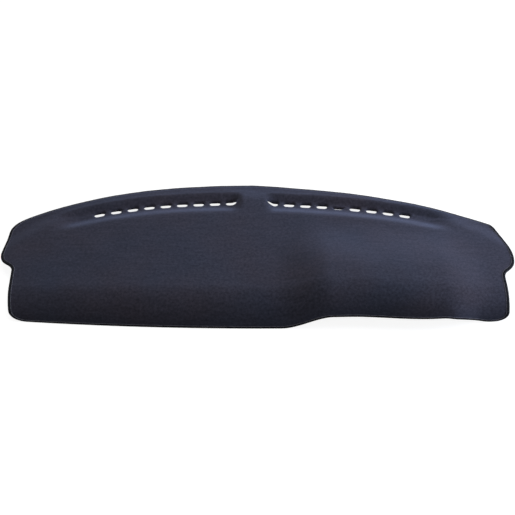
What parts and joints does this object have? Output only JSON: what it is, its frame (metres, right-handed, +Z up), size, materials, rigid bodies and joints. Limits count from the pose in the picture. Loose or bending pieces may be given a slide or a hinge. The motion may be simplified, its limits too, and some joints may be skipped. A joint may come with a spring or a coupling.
{
  "type": "dashboard cover mat",
  "caption": "Moulded carpet cover for a dashboard top, with a driver's instrument hump, a rolled front, two rows of demister slots and a sewn edge.",
  "frame": {"origin": "centre of the cover's bounding box in plan, at the floor that it lies on", "axes": "+X across the car to the driver's side, +Y towards the windscreen, +Z up"},
  "size_m": [1.4576, 0.539, 0.1258],
  "materials": {
    "carpet": "short-pile needle-felt carpet, black with a blue tint",
    "yarn": "overlocked polyester yarn, black"
  },
  "bodies": {
    "root": {"moulded_mat": "carpet", "edge_binding": "yarn"}
  },
  "joints": []
}
